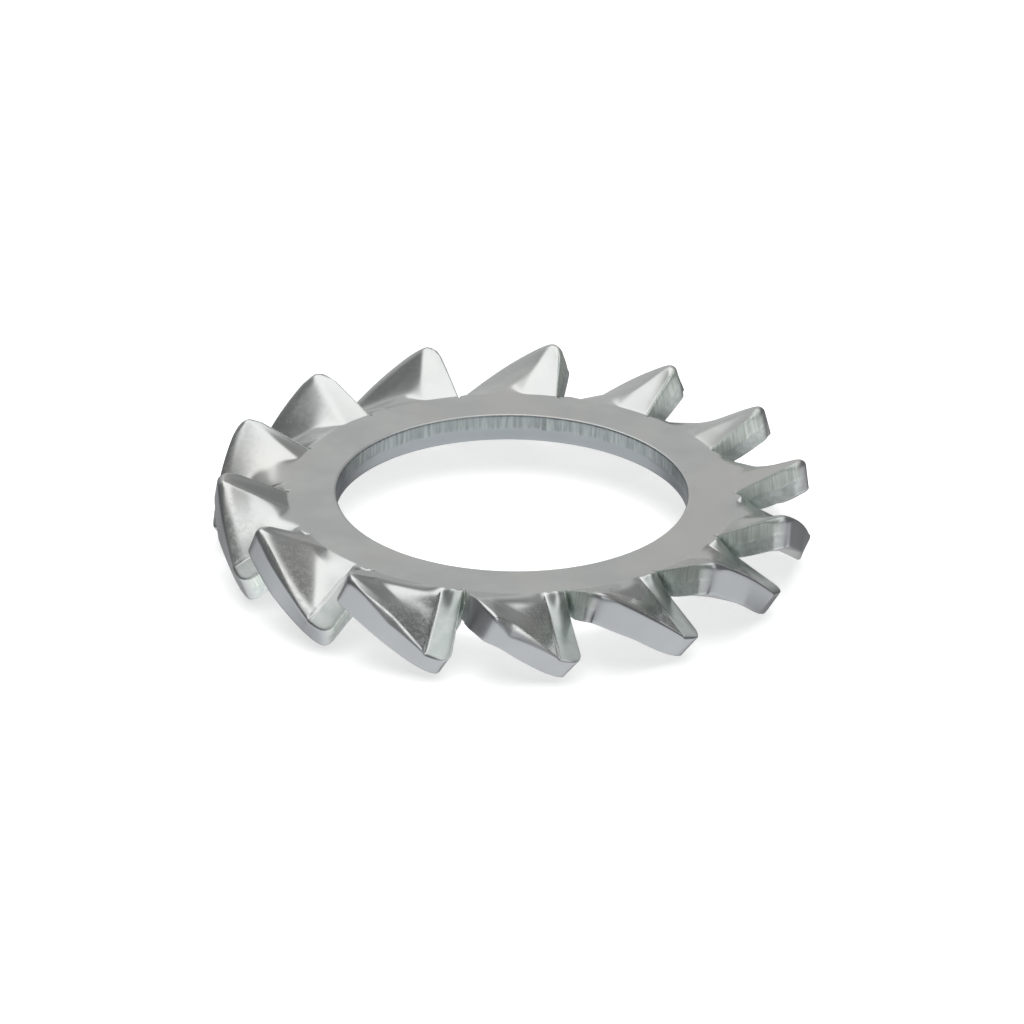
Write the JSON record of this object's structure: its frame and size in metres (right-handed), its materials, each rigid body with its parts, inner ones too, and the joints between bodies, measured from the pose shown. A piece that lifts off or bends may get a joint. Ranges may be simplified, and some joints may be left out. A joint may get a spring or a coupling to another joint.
{
  "type": "serrated lock washer",
  "caption": "Stamped steel lock washer: a flat ring whose outer rim is notched into twisted teeth that bite into nut and seat and stop a threaded joint from working loose",
  "frame": {"origin": "on the bore axis, in the plane that the lowered tooth tips stand on", "axes": "+Z along the bore axis, out of the side with the raised tooth edges; +X towards a notch: the tooth on its +Y side starts 1.4 degrees from +X"},
  "size_m": [0.0144, 0.0144, 0.0024],
  "materials": {
    "zinc_plated_steel": "bright zinc plating over stamped sheet"
  },
  "bodies": {
    "root": {"washer": "zinc_plated_steel"}
  },
  "joints": []
}
